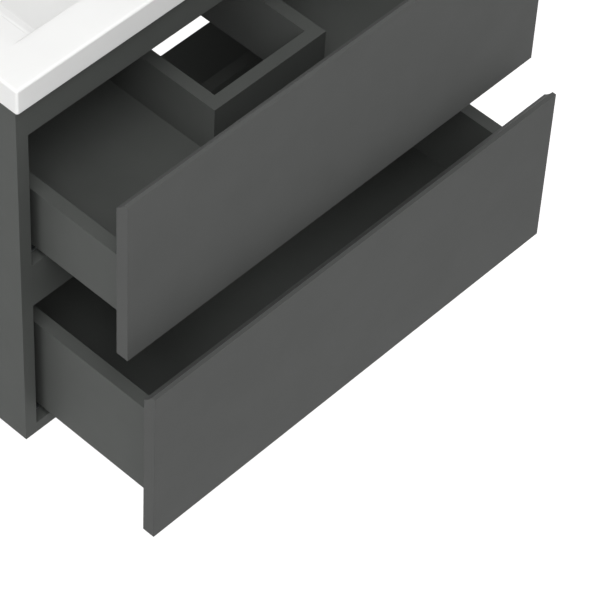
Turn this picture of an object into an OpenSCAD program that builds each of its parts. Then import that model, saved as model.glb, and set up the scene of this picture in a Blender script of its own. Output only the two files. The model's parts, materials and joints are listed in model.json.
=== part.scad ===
// Wall-hung bathroom cabinet with two drawers and a basin. Millimetres, +Z up, +Y towards the wall.
// Origin: on the wall, midway between the two wall plates' screw holes. Both drawers stand partly open.

/* [Cabinet] */
// Width over the two side panels
carcass_width = 600; // [560:5:700]
// Height of the side panels
carcass_height = 492; // [485:1:540]
// Depth from the side panels' front edges to the wall
carcass_depth = 450; // [430:5:500]
// Thickness of the carcass and drawer boards
board = 15; // [14:0.5:16]
// Depth of the bottom panel, which leaves the back open for pipes
bottom_depth = 290; // [260:5:320]
// Height of the middle front rail
middle_rail_height = 60; // [52:1:61]
// Height of the lower back rail
lower_back_rail_height = 80; // [70:5:120]
// Height of the upper back rail
upper_back_rail_height = 120; // [110:5:140]
// Space between the back rails and the wall
back_space = 20; // [19:1:25]

/* [Fronts] */
// Thickness of the two front panels
front_thickness = 15; // [14:0.5:19]
// Height of the top rail that stays in sight above the closed upper front
top_reveal = 26; // [22:0.5:30]
// How far each end of a front stands in from the cabinet's side
front_side_inset = 4; // [0:0.5:6]
// How far the lower front's lower edge stands above the cabinet's lower edge
front_bottom_inset = 2; // [1:0.5:4]
// Height of the gap between the two fronts
front_spacing = 27; // [25:0.5:28]
// Gap between a closed front and the cabinet's front edges
front_gap = 2; // [1.8:0.1:3]
// How far a closed front covers the rail behind its upper edge
rail_overlap = 20.5; // [16:0.5:21]
// Depth of the finger scoop in a front's upper edge
scoop_depth = 10; // [8:0.5:11]
// Height of the finger scoop on a front's back
scoop_drop = 11; // [9:0.5:13]

/* [Drawers] */
// Length of the drawer boxes behind the fronts
drawer_length = 300; // [290:5:330]
// Gap between a drawer's side board and the cabinet's side panel
drawer_side_gap = 13; // [12:0.5:14]
// Height of a box's lower edge above its front's lower edge
box_lift = 23.5; // [23:0.5:26]
// How far the upper drawer's side boards end below its front's upper edge
upper_side_drop = 114.5; // [104:0.5:122]
// How far the lower drawer's side boards end below its front's upper edge
lower_side_drop = 66.5; // [60:0.5:90]
// Space under a drawer's bottom board for the runners
bottom_recess = 13; // [12.5:0.5:15]
// How far the upper drawer stands open
upper_open = 128; // [0:1:215]
// How far the lower drawer stands open
lower_open = 166; // [0:1:215]

/* [Drain recess] */
// Inside width of the recess in the upper drawer
recess_width = 128.8; // [110:0.2:180]
// Distance from the front's back to the inside of the recess
recess_start = 99.3; // [80:0.1:130]
// How far the recess boards stand above the drawer's side boards
recess_step = 13; // [4:0.5:16]

/* [Basin] */
// How far the basin stands out over each side panel
basin_side_overhang = 5; // [2:0.5:10]
// How far the basin stands out over the cabinet's front edges
basin_front_overhang = 8; // [5:0.5:15]
// Height of the basin's rim
rim_height = 31; // [28:1:40]
// Thickness of the ceramic decks
deck_wall = 14; // [13:0.5:16]
// Radius of the rim's corners seen from above
rim_corner = 4; // [3:0.5:8]
// Size of the rounding along the rim's upper edge
rim_edge = 3; // [1:0.25:3]
// Width of the front deck
front_deck = 47.5; // [40:0.5:60]
// Distance from the basin's side to the start of the falling side deck
side_deck_start = 35; // [20:1:40]
// Distance from the basin's side to the small step in the side deck
side_step = 60; // [50:1:61]
// Distance from the basin's side to the bowl
side_deck = 70.7; // [70:0.1:90]
// How far the side deck falls towards the bowl
side_fall = 8; // [6:0.5:9]
// Length of the bowl from front to back
bowl_run = 300; // [270:5:310]
// Depth of the bowl below the rim
bowl_depth = 110; // [90:1:112]
// Thickness of the bowl
bowl_wall = 9; // [8:0.5:10]
// How far the bowl's walls lean in from the edge to the floor
bowl_lean = 45; // [30:1:60]
// Radius of the bowl's corners at its floor
bowl_floor_corner = 40; // [30:1:50]
// Radius of the bend between the bowl's walls and its floor
floor_bend = 25; // [12:1:30]
// Radius of the waste hole
waste_radius = 23; // [22:0.5:25]
// Radius of the tap hole
tap_radius = 17.5; // [17:0.5:18]
// Distance from the wall to the tap hole's axis
tap_back = 60; // [57:1:66]

/* [Runners] */
// Length of the cabinet member of a runner
runner_length = 196; // [194:2:230]
// Length of the middle member of a runner
middle_length = 176; // [170:2:190]
// Distance from the cabinet's front edges to the cabinet member
runner_setback = 12; // [11.5:0.5:16]
// Thickness of the runners' steel
steel = 1.5; // [1.2:0.1:1.6]
// Height of a runner under the drawer's bottom board
runner_height = 21.5; // [21:0.5:21.5]
// Width of a runner's channel
channel_width = 24; // [22:0.5:26]
// Height of the channel's walls
channel_wall = 12; // [10:0.5:13]
// Distance from the drawer's side board to the channel
channel_inset = 4; // [2:0.5:6]
// Play between the members of a runner
runner_play = 0.3; // [0.2:0.05:0.4]
// Height of the cabinet member's screw flange
flange_height = 36; // [30:1:40]

/* [Wall fixing] */
// Distance from the cabinet's upper edge down to the wall plates' middle
fixing_drop = 72; // [68:1:77]
// Distance between the two screw holes of a wall plate
plate_hole_spacing = 32; // [30:1:36]
// Radius of the wall plates' screw holes
plate_hole_radius = 3; // [2.5:0.25:3.5]
// Width of a wall plate
plate_width = 40; // [36:1:44]
// Height of a wall plate's flat
plate_height = 60; // [56:1:62]
// Thickness of a wall plate
plate_steel = 2.5; // [2:0.1:3]
// Distance from the wall to the front of the hooking lip
lip_reach = 11.5; // [11:0.5:13]
// Height of the hooking lip
lip_height = 14; // [12:0.5:15]
// Width of a hanger's housing
hanger_width = 17; // [16:0.5:20]
// Depth of a hanger's housing
hanger_depth = 42; // [38:1:50]
// Height of a hanger's housing
hanger_height = 60; // [56:1:62]

/* [Fasteners] */
// Radius of the wooden dowels
dowel_radius = 4; // [3:0.5:4]
// How deep a dowel sits in a board's face
dowel_face = 9.5; // [8:0.5:10]
// How deep a dowel sits in a board's end
dowel_end = 20; // [16:1:24]
// Radius of the cams
cam_radius = 7.5; // [7:0.5:8]
// Depth of the cams
cam_depth = 11; // [10:0.5:12]
// Distance from a board's end to a cam's axis
cam_set = 34; // [30:1:36]
// Radius of the cam bolts
bolt_radius = 3; // [2.5:0.25:3]
// Radius of the runner screws
screw_radius = 2; // [1.5:0.25:2.25]
// Radius of the bumpers
bumper_radius = 3.5; // [3:0.25:3.5]

/* [Hidden] */
$fn = 48;
fit_play = 0.05;
bore_extra = 0.5;
pair = [-1, 1];
half_width = carcass_width / 2;
inner_x = half_width - board;
box_outer_x = inner_x - drawer_side_gap;
box_inner_x = box_outer_x - board;
fixing_height = carcass_height - fixing_drop;
front_height = (carcass_height - top_reveal - front_spacing - front_bottom_inset) / 2;
lower_front_bottom = front_bottom_inset;
lower_front_top = lower_front_bottom + front_height;
upper_front_bottom = lower_front_top + front_spacing;
upper_front_top = upper_front_bottom + front_height;
middle_rail_bottom = lower_front_top - rail_overlap;
top_rail_bottom = upper_front_top - rail_overlap;
top_rail_height = carcass_height - top_rail_bottom;
back_rail_y = carcass_depth - back_space - board;
upper_back_rail_bottom = carcass_height - upper_back_rail_height;
drawer_bottom_z = box_lift + bottom_recess;
drawer_floor_z = drawer_bottom_z + board;
upper_side_top = front_height - upper_side_drop;
lower_side_top = front_height - lower_side_drop;
recess_top = upper_side_top + recess_step;
recess_run = drawer_length - recess_start;
front_width = carcass_width - 2 * front_side_inset;
recess_half = recess_width / 2;
recess_outer = recess_half + board;
back_y = drawer_length - board;
scoop_axis_y = 15;
scoop_axis_z = (scoop_depth * (scoop_depth + 2 * scoop_axis_y) - scoop_drop * scoop_drop) / (2 * scoop_drop);
scoop_radius = norm([scoop_depth + scoop_axis_y, scoop_axis_z]);
cam_bolt_in = cam_set - cam_radius + 4;

// runner profile, measured from the drawer bottom board's underside
runner_base = drawer_bottom_z - runner_height;
channel_outer = box_inner_x - channel_inset;
channel_inner = channel_outer - channel_width;
middle_outer = channel_outer - steel - runner_play;
middle_inner = channel_inner + steel + runner_play;
middle_low = runner_base + steel + runner_play;
middle_web_lift = 6;
middle_wall = 14;
middle_web = middle_low + middle_web_lift;
middle_high = middle_low + middle_wall;
rider_outer = middle_outer - steel - runner_play;
rider_inner = middle_inner + steel + runner_play;
rider_low = middle_web + steel + runner_play;
rider_lip = 1;
rider_start = runner_setback;
rider_shortening = 3;
rider_length = runner_length - rider_shortening;
middle_setback = 2;
middle_start = runner_setback + middle_setback;
upper_middle_shift = upper_open / 2;
lower_middle_shift = lower_open / 2;
screw_points = [0.13 * runner_length, 0.44 * runner_length, 0.87 * runner_length];
screw_head_radius = 2 * screw_radius;
screw_head_height = 1.8;
screw_depth = 11;
screw_z = runner_base + flange_height / 2;
clip_width = 26;
clip_length = 42;
clip_height = 12;
clip_play = 0.5;
clip_inner = channel_inner - rider_lip - clip_play - clip_width;
clip_nose = rider_start - 1;
clip_front = 2;
bumper_height = front_gap - 0.3;
bumper_inset = 3.5;
bumper_x = half_width - front_side_inset - bumper_radius - bumper_inset;
bumper_z = 0.85 * front_height;

// joint positions on the side panels' inner faces: [y, z]
bottom_dowel_points = [[0.14 * bottom_depth, board / 2], [0.86 * bottom_depth, board / 2]];
bottom_cam_points = [[bottom_depth / 2, board / 2]];
top_rail_dowel_points = [[board / 2, top_rail_bottom + 0.74 * top_rail_height]];
top_rail_cam_points = [[board / 2, top_rail_bottom + 0.28 * top_rail_height]];
middle_rail_dowel_points = [[board / 2, middle_rail_bottom + 0.24 * middle_rail_height]];
middle_rail_cam_points = [[board / 2, middle_rail_bottom + 0.64 * middle_rail_height]];
back_joint_y = back_rail_y + board / 2;
upper_back_dowel_points = [[back_joint_y, upper_back_rail_bottom + 0.38 * upper_back_rail_height]];
upper_back_cam_points = [[back_joint_y, upper_back_rail_bottom + 0.16 * upper_back_rail_height]];
lower_back_dowel_points = [[back_joint_y, 0.8 * lower_back_rail_height]];
lower_back_cam_points = [[back_joint_y, 0.28 * lower_back_rail_height]];
all_dowel_points = concat(bottom_dowel_points, top_rail_dowel_points, middle_rail_dowel_points,
    upper_back_dowel_points, lower_back_dowel_points);
all_cam_points = concat(bottom_cam_points, top_rail_cam_points, middle_rail_cam_points,
    upper_back_cam_points, lower_back_cam_points);

// joint positions in a drawer: [y, z]
floor_joint_z = drawer_bottom_z + board / 2;
floor_dowel_points = [[0.2 * drawer_length, floor_joint_z], [0.77 * drawer_length, floor_joint_z]];
upper_wall = upper_side_top - drawer_floor_z;
lower_wall = lower_side_top - drawer_floor_z;
back_board_y = drawer_length - board / 2;
upper_back_box_points = [[back_board_y, drawer_floor_z + 0.27 * upper_wall],
    [back_board_y, upper_side_top - 0.27 * upper_wall]];
lower_back_box_points = [[back_board_y, drawer_floor_z + 0.2 * lower_wall],
    [back_board_y, lower_side_top - 0.2 * lower_wall]];
upper_front_points = [box_lift + 0.27 * upper_wall, upper_side_top - 0.27 * upper_wall];
lower_front_points = [box_lift + 0.2 * lower_wall, lower_side_top - 0.2 * lower_wall];
recess_dowel_points = [[-0.7 * recess_half, recess_start - board / 2],
    [0.7 * recess_half, recess_start - board / 2],
    [-recess_half - board / 2, recess_start + 0.25 * recess_run],
    [-recess_half - board / 2, recess_start + 0.8 * recess_run],
    [recess_half + board / 2, recess_start + 0.25 * recess_run],
    [recess_half + board / 2, recess_start + 0.8 * recess_run]];

// basin
basin_top = carcass_height + rim_height;
basin_half = half_width + basin_side_overhang;
basin_front = -basin_front_overhang;
basin_length = carcass_depth + basin_front_overhang;
bowl_half = basin_half - side_deck;
bowl_front = basin_front + front_deck;
bowl_back = bowl_front + bowl_run;
bowl_floor = basin_top - bowl_depth;
waste_y = (bowl_front + bowl_back) / 2;
tap_y = carcass_depth - tap_back;
seat_margin = 2;
side_curve_fall = 3;
side_step_drop = 0.8;
side_step_run = 1.5;
side_step_flat = 2.5;
side_curve_run = side_step - side_deck_start;
side_curve_radius = (pow(side_curve_run, 2) + pow(side_curve_fall, 2)) / (2 * side_curve_fall);
side_curve_turn = asin(side_curve_run / side_curve_radius);
side_curve_steps = 5;
ridge = side_deck + side_fall * bowl_lean / bowl_depth;
wall_lean = atan(bowl_lean / bowl_depth);
bend_turn = 90 - wall_lean;
bend_steps = 3;
bend_end = bowl_lean + floor_bend * tan(bend_turn / 2);
bend_axis_depth = bowl_depth - floor_bend;

// hangers and wall plates
plate_x = inner_x - plate_width / 2 - 1;
plate_top = plate_height / 2;
lip_top = plate_top + lip_height;
hook_play = 0.3;
hook_thickness = 4;
arm_low = lip_top + hook_play;
arm_height = 8;
hook_back = lip_reach - plate_steel - hook_play;
hook_width = 12;
slot_play = 2;
hanger_head = 4;
hanger_low = arm_low + arm_height + hanger_head - hanger_height;
hanger_face = -back_space - board;
hanger_screw_radius = 4;
hanger_screw_length = 20;
hanger_screw_heights = [0.23 * hanger_height, 0.67 * hanger_height];
peg_radius = 5;
peg_depth = 11;
peg_points = [[hanger_face - 0.22 * hanger_depth, hanger_low + 0.45 * hanger_height],
    [hanger_face - 0.78 * hanger_depth, hanger_low + 0.45 * hanger_height]];

module cabinet_frame() {
    translate([0, -carcass_depth, -fixing_height]) children();
}

module upper_drawer_frame() {
    cabinet_frame() translate([0, -front_gap - upper_open, upper_front_bottom]) children();
}

module lower_drawer_frame() {
    cabinet_frame() translate([0, -front_gap - lower_open, lower_front_bottom]) children();
}

module upper_runner_frame() {
    cabinet_frame() translate([0, 0, upper_front_bottom]) children();
}

module lower_runner_frame() {
    cabinet_frame() translate([0, 0, lower_front_bottom]) children();
}

// a box from its low corner to its high corner
module block(low, high) {
    translate(low) cube(high - low);
}

// a pin along X that starts outside the plane |x| = face and ends inside it
module pin_x(side, face, point, radius, outside, inside) {
    translate([side * (face - inside), point[0], point[1]])
        rotate([0, side * 90, 0]) cylinder(r = radius, h = outside + inside);
}

module pins_x(side, face, points, radius, outside, inside) {
    for (point = points) pin_x(side, face, point, radius, outside, inside);
}

module dowel_bores_x(side, face, points) {
    pins_x(side, face, points, dowel_radius + fit_play, dowel_face + bore_extra, dowel_end + bore_extra);
}

module cam_bolt_bores(side, points) {
    pins_x(side, inner_x, points, bolt_radius + fit_play, dowel_face + bore_extra, cam_set);
}

module side_panel(side) {
    difference() {
        block([side > 0 ? inner_x : -half_width, 0, 0],
              [side > 0 ? half_width : -inner_x, carcass_depth, carcass_height]);
        dowel_bores_x(side, inner_x, all_dowel_points);
        cam_bolt_bores(side, all_cam_points);
        for (lift = [lower_front_bottom, upper_front_bottom])
            for (along = screw_points)
                pin_x(side, inner_x, [runner_setback + along, lift + screw_z], screw_radius + fit_play,
                    screw_depth + bore_extra, 1);
        for (point = peg_points)
            pin_x(side, inner_x, [carcass_depth + point[0], fixing_height + point[1]],
                peg_radius + fit_play, peg_depth + bore_extra, 1);
    }
}

module side_left() {
    color([0.24, 0.245, 0.24]) cabinet_frame() side_panel(-1);
}

module side_right() {
    color([0.24, 0.245, 0.24]) cabinet_frame() side_panel(1);
}

// direction: "up" for cams bored from below, "front" for cams bored from behind, "back" from in front
module cam_places(points, direction, plane) {
    for (side = pair)
        for (point = points) {
            if (direction == "up")
                translate([side * (inner_x - cam_set), point[0], plane]) children();
            if (direction == "front")
                translate([side * (inner_x - cam_set), plane, point[1]]) rotate([90, 0, 0]) children();
            if (direction == "back")
                translate([side * (inner_x - cam_set), plane, point[1]]) rotate([-90, 0, 0]) children();
        }
}

module rail_cuts(dowels, cams, direction, plane) {
    for (side = pair) {
        dowel_bores_x(side, inner_x, dowels);
        cam_bolt_bores(side, cams);
    }
    cam_places(cams, direction, plane) translate([0, 0, -1])
        cylinder(r = cam_radius + fit_play, h = cam_depth + 1);
}

module bottom_panel() {
    color([0.24, 0.245, 0.24]) cabinet_frame() difference() {
        block([-inner_x, 0, 0], [inner_x, bottom_depth, board]);
        rail_cuts(bottom_dowel_points, bottom_cam_points, "up", 0);
    }
}

module front_rail_top() {
    color([0.24, 0.245, 0.24]) cabinet_frame() difference() {
        block([-inner_x, 0, top_rail_bottom], [inner_x, board, carcass_height]);
        rail_cuts(top_rail_dowel_points, top_rail_cam_points, "front", board);
    }
}

module front_rail_middle() {
    color([0.24, 0.245, 0.24]) cabinet_frame() difference() {
        block([-inner_x, 0, middle_rail_bottom], [inner_x, board, middle_rail_bottom + middle_rail_height]);
        rail_cuts(middle_rail_dowel_points, middle_rail_cam_points, "front", board);
    }
}

module back_rail_top() {
    color([0.24, 0.245, 0.24]) cabinet_frame() difference() {
        block([-inner_x, back_rail_y, upper_back_rail_bottom],
              [inner_x, back_rail_y + board, carcass_height]);
        rail_cuts(upper_back_dowel_points, upper_back_cam_points, "back", back_rail_y);
        for (side = pair)
            block([side > 0 ? inner_x - hanger_width : -inner_x - 1, back_rail_y - 1,
                   fixing_height + arm_low - slot_play],
                  [side > 0 ? inner_x + 1 : -inner_x + hanger_width, back_rail_y + board + 1,
                   fixing_height + arm_low + arm_height + slot_play]);
    }
}

module back_rail_bottom() {
    color([0.24, 0.245, 0.24]) cabinet_frame() difference() {
        block([-inner_x, back_rail_y, 0], [inner_x, back_rail_y + board, lower_back_rail_height]);
        rail_cuts(lower_back_dowel_points, lower_back_cam_points, "back", back_rail_y);
    }
}

module carcass_dowels() {
    color([0.76, 0.6, 0.4]) cabinet_frame() for (side = pair)
        pins_x(side, inner_x, all_dowel_points, dowel_radius, dowel_face, dowel_end);
}

module carcass_cam_bolts() {
    color([0.7, 0.7, 0.72]) cabinet_frame() for (side = pair)
        pins_x(side, inner_x, all_cam_points, bolt_radius, dowel_face, cam_bolt_in);
}

// a cam with the pocket that takes the bolt's tip
module cam() {
    difference() {
        cylinder(r = cam_radius, h = cam_depth);
        for (side = pair)
            translate([side * (cam_radius + 1), 0, board / 2]) rotate([0, -side * 90, 0])
                cylinder(r = bolt_radius + 0.3, h = 6);
        translate([-3, -0.6, -0.1]) cube([6, 1.2, 1.6]);
    }
}

module carcass_cams() {
    color([0.7, 0.7, 0.72]) cabinet_frame() {
        cam_places(bottom_cam_points, "up", 0) cam();
        cam_places(top_rail_cam_points, "front", board) cam();
        cam_places(middle_rail_cam_points, "front", board) cam();
        cam_places(upper_back_cam_points, "back", back_rail_y) cam();
        cam_places(lower_back_cam_points, "back", back_rail_y) cam();
    }
}

// four upright posts whose hull is a plate with rounded corners
module corner_posts(half, front, back, corner, low, height) {
    for (x = pair)
        for (y = [front + corner, back - corner])
            translate([x * (half - corner), y, low]) cylinder(r = corner, h = height);
}

// the rim's plate with its upper edge rounded in two steps along the front and the sides
module rim_plate() {
    hull() for (turn = [0, 45, 90]) {
        inset = rim_edge * (1 - cos(turn));
        corner_posts(basin_half - inset, basin_front + inset, carcass_depth, rim_corner - 0.7 * inset,
            carcass_height, rim_height - rim_edge * (1 - sin(turn)));
    }
}

// the bowl's form, its inside or grown by the wall: leaning walls and a round bend into the floor
module bowl_form(grow, top) {
    hull() {
        corner_posts(bowl_half + grow, bowl_front - grow, bowl_back + grow, rim_corner + grow, top, 1);
        for (turn = [0 : bend_turn / bend_steps : bend_turn]) {
            inset = bend_end - (floor_bend + grow) * sin(turn);
            corner = rim_corner + (bowl_floor_corner - bowl_wall - rim_corner) * inset / bowl_lean;
            corner_posts(bowl_half - inset, bowl_front + inset, bowl_back - inset, corner + grow,
                basin_top - bend_axis_depth - (floor_bend + grow) * cos(turn), 1);
        }
    }
}

module basin_outside() {
    difference() {
        rim_plate();
        block([-inner_x + seat_margin, board + seat_margin, carcass_height - 1],
              [inner_x - seat_margin, back_rail_y - seat_margin, basin_top - deck_wall]);
    }
    bowl_form(bowl_wall, basin_top - deck_wall);
}

// the side deck's fall: a long curve, a small step, a level strip and a slope down to the bowl's ridge
module side_deck_cut(side) {
    curve = [for (n = [0 : side_curve_steps])
        [side_deck_start + side_curve_radius * sin(n * side_curve_turn / side_curve_steps),
         side_curve_radius * (1 - cos(n * side_curve_turn / side_curve_steps))]];
    step_end = side_step + side_step_run;
    rest = [[step_end, side_curve_fall + side_step_drop],
        [step_end + side_step_flat, side_curve_fall + side_step_drop],
        [ridge, side_fall], [ridge + side_fall, side_fall], [ridge + side_fall, -1], [side_deck_start, -1]];
    translate([0, bowl_back, 0]) rotate([90, 0, 0]) linear_extrude(bowl_run)
        polygon([for (point = concat(curve, rest)) [side * (basin_half - point[0]), basin_top - point[1]]]);
}

module basin() {
    color([0.93, 0.93, 0.92]) cabinet_frame() difference() {
        basin_outside();
        bowl_form(0, basin_top);
        for (side = pair) side_deck_cut(side);
        translate([0, waste_y, bowl_floor - bowl_wall - 1]) cylinder(r = waste_radius, h = bowl_wall + 3);
        translate([0, tap_y, basin_top - deck_wall - 1]) cylinder(r = tap_radius, h = deck_wall + 2);
    }
}

module upper_front() {
    color([0.27, 0.275, 0.27]) upper_drawer_frame() front_panel(upper_front_points);
}

module lower_front() {
    color([0.27, 0.275, 0.27]) lower_drawer_frame() front_panel(lower_front_points);
}

// the finger scoop is a round groove whose axis lies behind and above the panel's back corner
module front_panel(dowel_heights) {
    difference() {
        block([-front_width / 2, -front_thickness, 0], [front_width / 2, 0, front_height]);
        translate([-front_width / 2 - 1, scoop_axis_y, front_height + scoop_axis_z])
            rotate([0, 90, 0]) cylinder(r = scoop_radius, h = front_width + 2, $fn = 64);
        for (side = pair)
            for (height = dowel_heights)
                translate([side * (box_inner_x + board / 2), bore_extra, height]) rotate([90, 0, 0])
                    cylinder(r = dowel_radius + fit_play, h = dowel_face + 2 * bore_extra);
    }
}

module box_side(side, side_top, back_points, front_heights) {
    difference() {
        block([side > 0 ? box_inner_x : -box_outer_x, 0, box_lift],
              [side > 0 ? box_outer_x : -box_inner_x, drawer_length, side_top]);
        dowel_bores_x(side, box_inner_x, concat(floor_dowel_points, back_points));
        for (height = front_heights)
            translate([side * (box_inner_x + board / 2), -1, height]) rotate([-90, 0, 0])
                cylinder(r = dowel_radius + fit_play, h = dowel_end + bore_extra + 1);
    }
}

module upper_side_left() {
    color([0.24, 0.245, 0.24]) upper_drawer_frame()
        box_side(-1, upper_side_top, upper_back_box_points, upper_front_points);
}

module upper_side_right() {
    color([0.24, 0.245, 0.24]) upper_drawer_frame()
        box_side(1, upper_side_top, upper_back_box_points, upper_front_points);
}

module lower_side_left() {
    color([0.24, 0.245, 0.24]) lower_drawer_frame()
        box_side(-1, lower_side_top, lower_back_box_points, lower_front_points);
}

module lower_side_right() {
    color([0.24, 0.245, 0.24]) lower_drawer_frame()
        box_side(1, lower_side_top, lower_back_box_points, lower_front_points);
}

module box_floor() {
    difference() {
        block([-box_inner_x, 0, drawer_bottom_z], [box_inner_x, drawer_length, drawer_floor_z]);
        for (side = pair) dowel_bores_x(side, box_inner_x, floor_dowel_points);
    }
}

module upper_bottom() {
    color([0.24, 0.245, 0.24]) upper_drawer_frame() difference() {
        box_floor();
        block([-recess_half, recess_start, drawer_bottom_z - 1],
              [recess_half, drawer_length + 1, drawer_floor_z + 1]);
        recess_pins(dowel_radius + fit_play, bore_extra);
    }
}

module lower_bottom() {
    color([0.24, 0.245, 0.24]) lower_drawer_frame() box_floor();
}

// upright dowels under the recess boards
module recess_pins(radius, extra) {
    for (point = recess_dowel_points)
        translate([point[0], point[1], drawer_floor_z - dowel_face - extra])
            cylinder(r = radius, h = dowel_face + dowel_end + 2 * extra);
}

module recess_left() {
    color([0.24, 0.245, 0.24]) upper_drawer_frame() difference() {
        block([-recess_outer, recess_start, drawer_floor_z],
              [-recess_half, drawer_length, recess_top]);
        recess_pins(dowel_radius + fit_play, bore_extra);
    }
}

module recess_right() {
    color([0.24, 0.245, 0.24]) upper_drawer_frame() difference() {
        block([recess_half, recess_start, drawer_floor_z],
              [recess_outer, drawer_length, recess_top]);
        recess_pins(dowel_radius + fit_play, bore_extra);
    }
}

module recess_front() {
    color([0.24, 0.245, 0.24]) upper_drawer_frame() difference() {
        block([-recess_outer, recess_start - board, drawer_floor_z],
              [recess_outer, recess_start, recess_top]);
        recess_pins(dowel_radius + fit_play, bore_extra);
    }
}

module short_back(side) {
    difference() {
        block([side > 0 ? recess_outer : -box_inner_x, back_y, drawer_floor_z],
              [side > 0 ? box_inner_x : -recess_outer, drawer_length, upper_side_top]);
        dowel_bores_x(side, box_inner_x, upper_back_box_points);
    }
}

module upper_back_left() {
    color([0.24, 0.245, 0.24]) upper_drawer_frame() short_back(-1);
}

module upper_back_right() {
    color([0.24, 0.245, 0.24]) upper_drawer_frame() short_back(1);
}

module lower_back() {
    color([0.24, 0.245, 0.24]) lower_drawer_frame() difference() {
        block([-box_inner_x, back_y, drawer_floor_z], [box_inner_x, drawer_length, lower_side_top]);
        for (side = pair) dowel_bores_x(side, box_inner_x, lower_back_box_points);
    }
}

module box_dowels(back_points, front_heights) {
    for (side = pair) {
        pins_x(side, box_inner_x, concat(floor_dowel_points, back_points),
            dowel_radius, dowel_face, dowel_end);
        for (height = front_heights)
            translate([side * (box_inner_x + board / 2), -dowel_face, height]) rotate([-90, 0, 0])
                cylinder(r = dowel_radius, h = dowel_face + dowel_end);
    }
}

module upper_dowels() {
    color([0.76, 0.6, 0.4]) upper_drawer_frame() {
        box_dowels(upper_back_box_points, upper_front_points);
        recess_pins(dowel_radius, 0);
    }
}

module lower_dowels() {
    color([0.76, 0.6, 0.4]) lower_drawer_frame() box_dowels(lower_back_box_points, lower_front_points);
}

module cabinet_member(side) {
    difference() {
        mirror([side > 0 ? 0 : 1, 0, 0]) union() {
            block([inner_x - steel, runner_setback, runner_base],
                  [inner_x, runner_setback + runner_length, runner_base + flange_height]);
            block([channel_inner, runner_setback, runner_base],
                  [inner_x, runner_setback + runner_length, runner_base + steel]);
            block([channel_outer - steel, runner_setback, runner_base],
                  [channel_outer, runner_setback + runner_length, runner_base + channel_wall]);
            block([channel_inner, runner_setback, runner_base],
                  [channel_inner + steel, runner_setback + runner_length, runner_base + channel_wall]);
        }
        for (along = screw_points)
            pin_x(side, inner_x, [runner_setback + along, screw_z], screw_radius + 0.3, 1, steel + 1);
    }
}

module upper_runner_left() {
    color([0.62, 0.63, 0.65]) upper_runner_frame() cabinet_member(-1);
}

module upper_runner_right() {
    color([0.62, 0.63, 0.65]) upper_runner_frame() cabinet_member(1);
}

module lower_runner_left() {
    color([0.62, 0.63, 0.65]) lower_runner_frame() cabinet_member(-1);
}

module lower_runner_right() {
    color([0.62, 0.63, 0.65]) lower_runner_frame() cabinet_member(1);
}

module middle_member(side, shift) {
    mirror([side > 0 ? 0 : 1, 0, 0]) translate([0, -shift, 0]) {
        block([middle_inner, middle_start, middle_low],
              [middle_inner + steel, middle_start + middle_length, middle_high]);
        block([middle_outer - steel, middle_start, middle_low],
              [middle_outer, middle_start + middle_length, middle_high]);
        block([middle_inner, middle_start, middle_web],
              [middle_outer, middle_start + middle_length, middle_web + steel]);
    }
}

module upper_middle_left() {
    color([0.66, 0.67, 0.69]) upper_runner_frame() middle_member(-1, upper_middle_shift);
}

module upper_middle_right() {
    color([0.66, 0.67, 0.69]) upper_runner_frame() middle_member(1, upper_middle_shift);
}

module lower_middle_left() {
    color([0.66, 0.67, 0.69]) lower_runner_frame() middle_member(-1, lower_middle_shift);
}

module lower_middle_right() {
    color([0.66, 0.67, 0.69]) lower_runner_frame() middle_member(1, lower_middle_shift);
}

module drawer_member(side) {
    mirror([side > 0 ? 0 : 1, 0, 0]) {
        block([channel_inner - rider_lip, rider_start, drawer_bottom_z - steel],
              [channel_outer + rider_lip, rider_start + rider_length, drawer_bottom_z]);
        block([rider_inner, rider_start, rider_low],
              [rider_inner + steel, rider_start + rider_length, drawer_bottom_z]);
        block([rider_outer - steel, rider_start, rider_low],
              [rider_outer, rider_start + rider_length, drawer_bottom_z]);
    }
}

module upper_rider_left() {
    color([0.62, 0.63, 0.65]) upper_drawer_frame() drawer_member(-1);
}

module upper_rider_right() {
    color([0.62, 0.63, 0.65]) upper_drawer_frame() drawer_member(1);
}

module lower_rider_left() {
    color([0.62, 0.63, 0.65]) lower_drawer_frame() drawer_member(-1);
}

module lower_rider_right() {
    color([0.62, 0.63, 0.65]) lower_drawer_frame() drawer_member(1);
}

// the clip holds the front end of the drawer member with its nose
module clip(side) {
    mirror([side > 0 ? 0 : 1, 0, 0]) {
        block([clip_inner, clip_front, drawer_bottom_z - clip_height],
              [clip_inner + clip_width, clip_front + clip_length, drawer_bottom_z]);
        block([clip_inner, clip_front, drawer_bottom_z - clip_height],
              [channel_outer - 2, clip_nose, drawer_bottom_z]);
        block([rider_inner + steel + 0.5, clip_nose - 1, rider_low + 1],
              [rider_outer - steel - 0.5, clip_nose + 9, drawer_bottom_z - steel]);
    }
}

module upper_clip_left() {
    color([0.46, 0.47, 0.49]) upper_drawer_frame() clip(-1);
}

module upper_clip_right() {
    color([0.46, 0.47, 0.49]) upper_drawer_frame() clip(1);
}

module lower_clip_left() {
    color([0.46, 0.47, 0.49]) lower_drawer_frame() clip(-1);
}

module lower_clip_right() {
    color([0.46, 0.47, 0.49]) lower_drawer_frame() clip(1);
}

module runner_screws() {
    color([0.75, 0.75, 0.77]) cabinet_frame()
        for (lift = [lower_front_bottom, upper_front_bottom])
            for (side = pair)
                for (along = screw_points) {
                    pin_x(side, inner_x, [runner_setback + along, lift + screw_z],
                        screw_radius, screw_depth, steel + 0.5);
                    pin_x(side, inner_x - steel, [runner_setback + along, lift + screw_z],
                        screw_head_radius, 0, screw_head_height);
                }
}

module bumpers() {
    for (side = pair)
        translate([side * bumper_x, 0, bumper_z]) rotate([-90, 0, 0])
            cylinder(r = bumper_radius, h = bumper_height);
}

module upper_bumpers() {
    color([0.8, 0.8, 0.8]) upper_drawer_frame() bumpers();
}

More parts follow.
